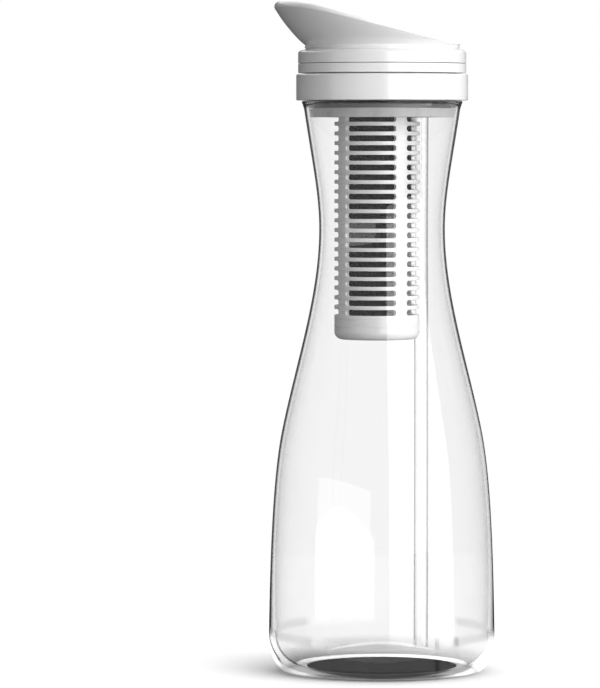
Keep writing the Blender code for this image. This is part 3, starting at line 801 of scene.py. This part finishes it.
# The two rings of the pouring head
rings = {
    "lowRounding": 0.0004,
    "crownWidth": 0.0033,
    "crownHeight": 0.0017,
    "crownRise": 0.00027,  # how far the crown stands over its CAD node, towards the spout
    "edge": 0.00015,
    "seam": 0.00026,
}


def buildRings():
    low, high = nodeSpan("turn_ring"), nodeSpan("spout_ring")
    bore = collar["bore"]
    lowTop = high["low"] - rings["seam"]
    lowRing = [
        (bore, lowTop),
        (low["radius"], lowTop, rings["edge"]),
        (low["radius"], low["low"], rings["lowRounding"]),
        (bore, low["low"]),
    ]
    turnPiece("head_ring_low", lowRing, "pour_head", glossWhite, ["turn_ring"])
    highTop = high["top"] + rings["crownRise"]
    width, height = rings["crownWidth"], rings["crownHeight"]
    crownMiddle = (high["radius"] - width, highTop - height)
    crown = arcDots(crownMiddle, width, height, start=90, end=0, steps=12)
    highEdge = (high["radius"], high["low"], rings["edge"])
    highRing = [(bore, highTop), *crown, highEdge, (bore, high["low"])]
    turnPiece("head_ring_high", highRing, "pour_head", glossWhite, ["spout_ring"])


buildRings()
print("gasket, collar and rings built")

# Pouring spout: a flared cone cut along a sloping rim, with a rounded lip and a filleted foot
spout = {
    "footRadius": 0.034588,
    "skirtRadius": 0.029544,
    "skirtHeight": 0.0056,
    "skirtEdge": 0.0003,
    "wall": 0.0018,
    "reach": 0.01355,
    "backRise": 0.0022,
    "flare": 1.3,
    "beakEase": 0.023,
    "backEase": 0.006,
    "lip": 0.0024,
    "innerLip": 0.22,  # the lip's inner rounding as a share of the wall
    "footHeights": (0.00117, 0.0009, 0.00063),  # top, middle and bottom of the foot's lip
    "footUndercut": 0.0004,
    "footDip": 0.0004,
    "footDipRise": 0.17,
    "coneDots": 18,
    "rimPasses": 12,
}


def spoutFlare(share):
    # how far the cone has opened at a share of its height
    return spout["flare"] * share - (spout["flare"] - 1) * share * share


def rimHeight(x, footZ, tipZ):
    # side view of the rim: level over the beak, then a straight slope down to the back
    tipX = -spout["footRadius"] - spout["reach"]
    lowZ = footZ + spout["backRise"]
    run = spout["footRadius"] - tipX - (spout["beakEase"] + spout["backEase"]) / 2
    slope = (tipZ - lowZ) / run
    pastTip = x - tipX
    toBack = spout["footRadius"] - x
    if pastTip < spout["beakEase"]:
        return tipZ - slope * max(pastTip, 0) ** 2 / (2 * spout["beakEase"])
    if toBack < spout["backEase"]:
        return lowZ + slope * max(toBack, 0) ** 2 / (2 * spout["backEase"])
    return lowZ + slope * (toBack - spout["backEase"] / 2)


def spoutProfile(footZ, tipZ):
    # section through the beak: inner side up, round the lip, outer side down, foot and skirt
    coneLow = footZ + spout["wall"]
    coneTop = tipZ - spout["lip"]
    outer = []
    for step in range(spout["coneDots"] + 1):
        share = step / spout["coneDots"]
        dip = spout["footDip"] * max(0, 1 - share / spout["footDipRise"]) ** 2
        radius = spout["footRadius"] + spout["reach"] * spoutFlare(share) - dip
        outer.append((radius, coneLow + (coneTop - coneLow) * share))
    inner = [(radius - spout["wall"], height) for radius, height in outer]
    small = spout["wall"] * spout["innerLip"]
    lipMiddle = spout["footRadius"] + spout["reach"] - spout["wall"] + small
    lipWidth = spout["wall"] - small
    outerLip = arcDots((lipMiddle, coneTop), lipWidth, spout["lip"], start=90, end=0, steps=10)
    innerLip = arcDots((lipMiddle, tipZ - small), small, small, start=180, end=90, steps=4)
    footTop, footMiddle, footLow = (footZ + height for height in spout["footHeights"])
    undercut = spout["footRadius"] - spout["footUndercut"]
    skirtInner = spout["skirtRadius"] - spout["wall"]
    skirtLow = footZ - spout["skirtHeight"]
    foot = [
        (spout["footRadius"], footTop),
        (spout["footRadius"], footMiddle),
        (undercut, footLow),
        (undercut, footZ),
        (spout["skirtRadius"], footZ),
        (spout["skirtRadius"], skirtLow, spout["skirtEdge"]),
        (skirtInner, skirtLow, spout["skirtEdge"]),
        (skirtInner, coneLow),
    ]
    return inner + innerLip + outerLip[1:-1] + outer[::-1] + foot, coneLow


def buildSpout():
    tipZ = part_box("pour_spout")[1].z
    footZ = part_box("spout_ring")[1].z + gap
    section, coneLow = spoutProfile(footZ, tipZ)
    bm = bmesh.new()
    wireProfile(bm, section)
    spinProfile(bm, roundSteps)
    full = tipZ - coneLow
    # the full cone is lowered, at each bearing, to where it meets the rim
    for dot in bm.verts:
        if dot.co.z <= coneLow + weld:
            continue
        bearing = math.atan2(dot.co.y, dot.co.x)
        radius = math.hypot(dot.co.x, dot.co.y)
        share = 1.0
        for _ in range(spout["rimPasses"]):
            rimRadius = spout["footRadius"] + spout["reach"] * spoutFlare(share)
            share = (rimHeight(rimRadius * math.cos(bearing), footZ, tipZ) - coneLow) / full
        height = (dot.co.z - coneLow) / full
        coneHeight = min(height * full / (full - spout["lip"]), 1.0)
        opened = spout["reach"] * spoutFlare(coneHeight)
        wall = spout["footRadius"] + opened - radius
        radius = spout["footRadius"] + opened * spoutFlare(share) - wall
        lowered = coneLow + height * share * full
        dot.co = (radius * math.cos(bearing), radius * math.sin(bearing), lowered)
    finishPiece(bm, "pouring_spout", "pour_head", glossWhite, ["pour_spout"])


buildSpout()
print("spout built")

# Cartridge cage: rows of slots with round ends, a plain cup below and a collar above
cage = {
    "radius": 0.01905,
    "wall": 0.0020,
    "corner": 0.0034,
    "cup": 0.0110,
    "floorRing": 0.6,  # the floor's inmost ring as a share of its radius
    "rows": 21,
    "columns": 4,
    "pitch": 0.00431,
    "slotHeight": 0.00264,
    "slotSweep": math.radians(73),
    "slotSegments": 20,
    "turn": math.radians(-10),
    "edge": 0.00014,
    "edgeAngle": math.radians(50),
    "cellSteps": 30,
    "cellCuts": 3,
    "cellWeld": 0.00002,
}


def isUpright(edge):
    first, second = edge.verts
    return abs(first.co.x - second.co.x) < weld


def slotCell(bm):
    # one flat cell, a sheet of one pitch by one column with its slot left open, in the XZ plane
    width = cage["radius"] * math.tau / cage["columns"]
    nearEnd = 0.49  # of a sheet that is 1 wide while it is made
    bmesh.ops.create_grid(bm, x_segments=cage["cellSteps"], y_segments=1, size=0.5)
    bmesh.ops.delete(bm, geom=list(bm.faces), context="FACES_ONLY")
    inner = [edge for edge in bm.edges if isUpright(edge) and abs(edge.verts[0].co.x) < nearEnd]
    bmesh.ops.delete(bm, geom=inner, context="EDGES")
    sides = [edge for edge in bm.edges if isUpright(edge)]
    bmesh.ops.subdivide_edges(bm, edges=sides, cuts=cage["cellCuts"])
    for dot in bm.verts:
        dot.co = (dot.co.x * width, 0, dot.co.y * cage["pitch"])
    frameEdges = list(bm.edges)
    half = cage["slotHeight"] / 2
    ring = bmesh.ops.create_circle(bm, segments=cage["slotSegments"], radius=half)["verts"]
    halfSegment = Matrix.Rotation(math.tau / cage["slotSegments"] / 2, 3, "Z")
    bmesh.ops.rotate(bm, verts=ring, cent=(0, 0, 0), matrix=halfSegment)
    push = cage["radius"] * cage["slotSweep"] / 2 - half
    for dot in ring:
        dot.co = (dot.co.x + math.copysign(push, dot.co.x), 0, dot.co.y)
    slotEdges = [edge for edge in bm.edges if edge not in frameEdges]
    long = [edge for edge in slotEdges if edge.calc_length() > push]
    cuts = round(2 * push / (width / cage["cellSteps"])) - 1
    bmesh.ops.subdivide_edges(bm, edges=long, cuts=cuts)
    bmesh.ops.bridge_loops(bm, edges=list(bm.edges))


def cupStations(cageLow):
    # rings of the closed cup as (share of the radius, height), down its wall and round its corner
    corner = cage["corner"]
    flat = cage["radius"] - corner
    rounding = arcDots((flat, cageLow + corner), corner, corner, start=0, end=-90, steps=10)
    rounding.append((flat * cage["floorRing"], cageLow))
    return [(radius / cage["radius"], height) for radius, height in rounding]


def growWall(bm, edges, stations):
    # extrudes a round edge through its stations and gives the last edges back
    for scale, height in stations:
        made = bmesh.ops.extrude_edge_only(bm, edges=edges)["geom"]
        edges = [part for part in made if isinstance(part, bmesh.types.BMEdge)]
        for dot in [part for part in made if isinstance(part, bmesh.types.BMVert)]:
            grown = cage["radius"] * scale / math.hypot(dot.co.x, dot.co.y)
            dot.co = (dot.co.x * grown, dot.co.y * grown, height)
    return edges


def buildCage():
    axisX = nodeSpan("cartridge_cap")["axis"][0]
    cageLow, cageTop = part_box("cartridge_cage")[0].z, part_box("cartridge_cage")[1].z
    slotsLow = cageLow + cage["cup"]
    bm = bmesh.new()
    slotCell(bm)
    cellDots = list(bm.verts)
    cell = cellDots + list(bm.edges) + list(bm.faces)
    width = cage["radius"] * math.tau / cage["columns"]
    for row in range(cage["rows"]):
        for column in range(cage["columns"]):
            copy = bmesh.ops.duplicate(bm, geom=cell)["geom"]
            dots = [part for part in copy if isinstance(part, bmesh.types.BMVert)]
            middle = slotsLow + cage["slotHeight"] / 2 + row * cage["pitch"]
            bmesh.ops.translate(bm, verts=dots, vec=(width * column, 0, middle))
    bmesh.ops.delete(bm, geom=cellDots, context="VERTS")
    start = cage["turn"] - math.pi / 2
    for dot in bm.verts:
        angle = start + dot.co.x / cage["radius"]
        dot.co = (cage["radius"] * math.cos(angle), cage["radius"] * math.sin(angle), dot.co.z)
    bmesh.ops.remove_doubles(bm, verts=bm.verts, dist=cage["cellWeld"])
    ends = [edge for edge in bm.edges if edge.is_boundary]
    heights = [dot.co.z for dot in bm.verts]

    def endsAt(height):
        return [edge for edge in ends if all(abs(dot.co.z - height) < 2 * weld for dot in edge.verts)]

    top, low = endsAt(max(heights)), endsAt(min(heights))
    growWall(bm, top, [(1.0, cageTop)])
    floorEdges = growWall(bm, low, cupStations(cageLow))
    bmesh.ops.contextual_create(bm, geom=floorEdges)
    bmesh.ops.translate(bm, verts=bm.verts, vec=(axisX, 0, 0))
    stands = ["cartridge_cage"]
    piece = finishPiece(
        bm, "cartridge_ribs", "cartridge", ribWhite, stands, weighted=False
    )
    wall = piece.modifiers.new("wall", "SOLIDIFY")
    wall.thickness = cage["wall"]
    wall.offset = -1
    wall.use_even_offset = True
    edge = piece.modifiers.new("edge", "BEVEL")
    edge.width = cage["edge"]
    edge.segments = 2
    edge.limit_method = "ANGLE"
    edge.angle_limit = cage["edgeAngle"]
    even = piece.modifiers.new("evenNormals", "WEIGHTED_NORMAL")
    even.keep_sharp = True


buildCage()
print("cartridge cage built")

# Carbon block: a dark core under a skin of crushed grains
carbon = {
    "radius": 0.0153,
    "bore": 0.0072,
    "skin": 0.0007,
    "coreEdge": 0.0004,
    "grain": 0.00078,
    "spread": 0.28,  # of the grains' size
    "pitch": 0.00138,
    "shift": 0.35,  # sideways and up or down, as shares of the pitch
    "lift": 0.3,
    "sink": (0.9, 1.1),  # of a grain's size
    "lean": 0.3,
    "squeeze": ((0.7, 1.0), (0.55, 0.95)),
    "seed": 7,
}


def buildCarbon():
    span = nodeSpan("carbon_block")
    axisX = span["axis"][0]
    low, top = span["low"], span["top"]
    core = carbon["radius"] - carbon["skin"]
    corners = [
        (carbon["bore"], top),
        (core, top, carbon["coreEdge"]),
        (core, low, carbon["coreEdge"]),
        (carbon["bore"], low),
    ]
    bm = bmesh.new()
    wireProfile(bm, corners)
    spinProfile(bm, smallSteps, (axisX, 0))
    dice = random.Random(carbon["seed"])
    spread, shift, lift = carbon["spread"], carbon["shift"], carbon["lift"]
    rows = int((top - low - carbon["grain"]) / carbon["pitch"])
    around = int(math.tau * core / carbon["pitch"])
    mesh = bpy.data.meshes.new("carbon_grains")
    for row in range(rows):
        grains = bmesh.new()
        for place in range(around):
            size = carbon["grain"] * dice.uniform(1 - spread, 1 + spread)
            bearing = (place + 0.5 * (row % 2) + dice.uniform(-shift, shift)) * math.tau / around
            height = low + carbon["grain"] + (row + dice.uniform(-lift, lift)) * carbon["pitch"]
            height = min(max(height, low + size), top - size)
            out = carbon["radius"] - size * dice.uniform(*carbon["sink"])
            spot = (axisX + out * math.cos(bearing), out * math.sin(bearing), height)
            spin = dice.uniform(0, math.tau)
            axis = Vector((dice.uniform(-1, 1), dice.uniform(-1, 1), carbon["lean"]))
            squeeze = [dice.uniform(*limits) for limits in carbon["squeeze"]]
            shape = Matrix.Rotation(spin, 4, axis) @ Matrix.Diagonal((1, *squeeze, 1))
            bmesh.ops.create_icosphere(
                grains, subdivisions=1, radius=size, matrix=Matrix.Translation(spot) @ shape
            )
        grains.to_mesh(mesh)
        grains.free()
        bm.from_mesh(mesh)
    bmesh.ops.recalc_face_normals(bm, faces=bm.faces)
    bm.to_mesh(mesh)
    bm.free()
    mesh.materials.append(blackCarbon)
    piece = bpy.data.objects.new("carbon_grains", mesh)
    bpy.context.scene.collection.objects.link(piece)
    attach(piece, "cartridge")
    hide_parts("carbon_block")


buildCarbon()
print("carbon grains built")

# Vent tube
tube = {"radius": 0.00325, "bore": 0.00225, "edge": 0.0002}


def buildTube():
    span = nodeSpan("vent_tube")
    corners = [
        (tube["bore"], span["top"], tube["edge"]),
        (tube["radius"], span["top"], tube["edge"]),
        (tube["radius"], span["low"], tube["edge"]),
        (tube["bore"], span["low"], tube["edge"]),
    ]
    stands, axis = ["vent_tube"], span["axis"]
    turnPiece("clear_vent_tube", corners, "lid", clearTube, stands, axis, smallSteps)


buildTube()
print("vent tube built")


# Camera: the photo is 600 by 688 pixels; the carafe's axis and the horizon lie off its centre
view = {
    "size": (600, 688),
    "axisPixel": 382,
    "horizonPixel": 138,
    "focalPixels": 4540,
    "distance": 2.0294,
    "height": 0.2387,
    "sensor": 36,
    "clip": (0.01, 50),
}


def buildCamera():
    width, height = view["size"]
    data = bpy.data.cameras.new("photoCamera")
    data.sensor_width = view["sensor"]
    data.lens = view["focalPixels"] / height * view["sensor"]
    data.clip_start, data.clip_end = view["clip"]
    camera = bpy.data.objects.new("photoCamera", data)
    bpy.context.scene.collection.objects.link(camera)
    camera.location = (0, -view["distance"], view["height"])
    left = (view["axisPixel"] - width / 2) / view["focalPixels"]
    down = (height / 2 - view["horizonPixel"]) / view["focalPixels"]
    aim = Vector((-left, 1, -down * math.hypot(1, left)))
    camera.rotation_euler = aim.to_track_quat("-Z", "Y").to_euler()
    bpy.context.scene.camera = camera


buildCamera()

# Panels of light: a tall softbox at the right front and a low card at the left. They span the
# bearings from start to end, in degrees to the right of the camera
panels = {
    "softBox": {"start": 8, "end": 79, "distance": 6.0, "low": -1.1, "top": 5.0, "level": 2.9},
    "softCard": {"start": -72, "end": -12, "distance": 2.5, "low": -0.02, "top": 0.36, "level": 1.0},
}


def buildPanel(name, start, end, distance, low, top, level):
    middle, half = math.radians((start + end) / 2), math.radians((end - start) / 2)
    lamp = bpy.data.lights.new(name, "AREA")
    lamp.shape = "RECTANGLE"
    lamp.size = 2 * distance * math.tan(half)
    lamp.size_y = top - low
    lamp.energy = level * math.pi * lamp.size * lamp.size_y
    panel = bpy.data.objects.new(name, lamp)
    bpy.context.scene.collection.objects.link(panel)
    out = Vector((math.sin(middle), -math.cos(middle), 0))
    panel.location = out * distance + Vector((0, 0, (top + low) / 2))
    panel.rotation_euler = (-out).to_track_quat("-Z", "Y").to_euler()
    panel.visible_camera = False


def seenDirectly(tree):
    # 1 where the camera sees a surface, straight or through glass
    path = tree.nodes.new("ShaderNodeLightPath")
    seen = mathValue(tree, "MAXIMUM", path.outputs["Is Camera Ray"], path.outputs["Is Transmission Ray"])
    clear = mathValue(tree, "LESS_THAN", path.outputs["Diffuse Depth"], 0.5)
    return product(tree, seen, clear)


# Pale room, as ramps over a direction's part along X, Y or Z. Soft light adds up from the first
# four, and gloss is the most of it that a glossy surface sees
room = {
    "upSoft": (0.07, 0.25, 0.1, 1.0),
    "rightSoft": (0, 0.85, 0.2, 1),
    "leftSoft": (0.27, 0, -1, -0.4),
    "leftUp": (0, 1, 0, 0.3),
    "gloss": 0.1,
    "overhead": (0, 0.7, 0.8, 1),
    "backdrop": (0, 1.5, 0.1, 0.3),
    "backdropUp": (0, 1, 0.2, 0.3),
}


def buildRoom():
    world = bpy.data.worlds.new("room")
    world.use_nodes = True
    bpy.context.scene.world = world
    tree = world.node_tree
    tree.nodes.clear()
    place = tree.nodes.new("ShaderNodeTexCoord")
    x, y, z = splitPoint(tree, place.outputs["Generated"])

    def ramp(value, name):
        return between(tree, value, *room[name])

    left = product(tree, ramp(x, "leftSoft"), ramp(z, "leftUp"))
    soft = mathValue(tree, "ADD", ramp(z, "upSoft"), ramp(x, "rightSoft"))
    soft = mathValue(tree, "ADD", soft, left)
    path = tree.nodes.new("ShaderNodeLightPath")
    matt = mathValue(tree, "GREATER_THAN", path.outputs["Diffuse Depth"], 0.5)
    limit = between(tree, matt, room["gloss"], 1, 0, 1)
    level = mathValue(tree, "MINIMUM", limit, soft)
    level = mathValue(tree, "ADD", level, ramp(z, "overhead"))
    # surfaces that face up reflect the bright backdrop behind the carafe
    behind = product(tree, ramp(y, "backdrop"), ramp(z, "backdropUp"), remainder(tree, matt))
    level = mathValue(tree, "MAXIMUM", level, behind)
    lit = tree.nodes.new("ShaderNodeBackground")
    tree.links.new(level, lit.inputs["Strength"])
    white = tree.nodes.new("ShaderNodeBackground")
    for background in (lit, white):
        background.inputs["Color"].default_value = (1, 1, 1, 1)
    mix = mixShaders(tree, seenDirectly(tree), lit, white)
    output = tree.nodes.new("ShaderNodeOutputWorld")
    tree.links.new(mix.outputs["Shader"], output.inputs["Surface"])


# White floor, as ramps over the distance from the foot, apart from the bounce, which runs from
# the left front to the right front
floorLook = {
    "size": 3.4,
    "bounce": (0.0, 0.9, -0.5, 0.5),
    "seen": 1.5,
    "fade": (0, 1, 0.25, 0.55),
    # painted light on the floor under the glass
    "glow": (0, 0.75, 0.0335, 0.0355),
    "footGlow": (0.38, 0, 0.039, 0.046),
}


def buildFloor():
    bm = bmesh.new()
    bmesh.ops.create_grid(bm, x_segments=1, y_segments=1, size=floorLook["size"] / 2)
    mesh = bpy.data.meshes.new("studioFloor")
    bm.to_mesh(mesh)
    bm.free()
    floor = bpy.data.objects.new("studioFloor", mesh)
    bpy.context.scene.collection.objects.link(floor)
    floor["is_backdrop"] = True
    material = bpy.data.materials.new("studioFloor")
    material.use_nodes = True
    tree = material.node_tree
    tree.nodes.clear()
    seen = seenDirectly(tree)
    matt = tree.nodes.new("ShaderNodeBsdfDiffuse")
    path = tree.nodes.new("ShaderNodeLightPath")
    # unseen, the floor bounces more light from the front right than from the left
    place = tree.nodes.new("ShaderNodeTexCoord").outputs["Object"]
    x, y = splitPoint(tree, place)[:2]
    bounce = between(tree, mathValue(tree, "SUBTRACT", x, y), *floorLook["bounce"])
    tone = tree.nodes.new("ShaderNodeMix")
    tree.links.new(seen, tone.inputs["Factor"])
    tree.links.new(bounce, tone.inputs["A"])
    tone.inputs["B"].default_value = floorLook["seen"]
    tree.links.new(tone.outputs["Result"], matt.inputs["Color"])
    white = tree.nodes.new("ShaderNodeEmission")
    away = tree.nodes.new("ShaderNodeVectorMath")
    away.operation = "LENGTH"
    tree.links.new(place, away.inputs[0])
    far = between(tree, away.outputs["Value"], *floorLook["fade"])
    # painted light: a bright ring on the floor that glows only through the glass, and a painted pool of
    # light under the heel's edge
    glow = between(tree, away.outputs["Value"], *floorLook["glow"])
    glow = product(tree, glow, path.outputs["Is Transmission Ray"])
    under = between(tree, away.outputs["Value"], *floorLook["footGlow"])
    bright = mathValue(tree, "MAXIMUM", mathValue(tree, "MAXIMUM", far, glow), under)
    lit = mixShaders(tree, product(tree, bright, seen), matt, white)
    # reflections look past the floor, so that the softbox shows down to the heel of the glass
    passing = tree.nodes.new("ShaderNodeBsdfTransparent")
    mirrored = mathValue(tree, "LESS_THAN", path.outputs["Diffuse Depth"], 0.5)
    mirrored = product(tree, mirrored, path.outputs["Is Reflection Ray"])
    output = tree.nodes.new("ShaderNodeOutputMaterial")
    surface = mixShaders(tree, mirrored, lit, passing)
    tree.links.new(surface.outputs["Shader"], output.inputs["Surface"])
    mesh.materials.append(material)


for name, sizes in panels.items():
    buildPanel(name, **sizes)
buildRoom()
buildFloor()
bpy.context.scene.view_settings.view_transform = "Standard"
bpy.context.scene.cycles.caustics_reflective = False
bpy.context.scene.cycles.caustics_refractive = False
print("camera and studio set")

sizes = {"cad": [list(corner) for corner in cadBox], "visual": [list(corner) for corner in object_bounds()]}
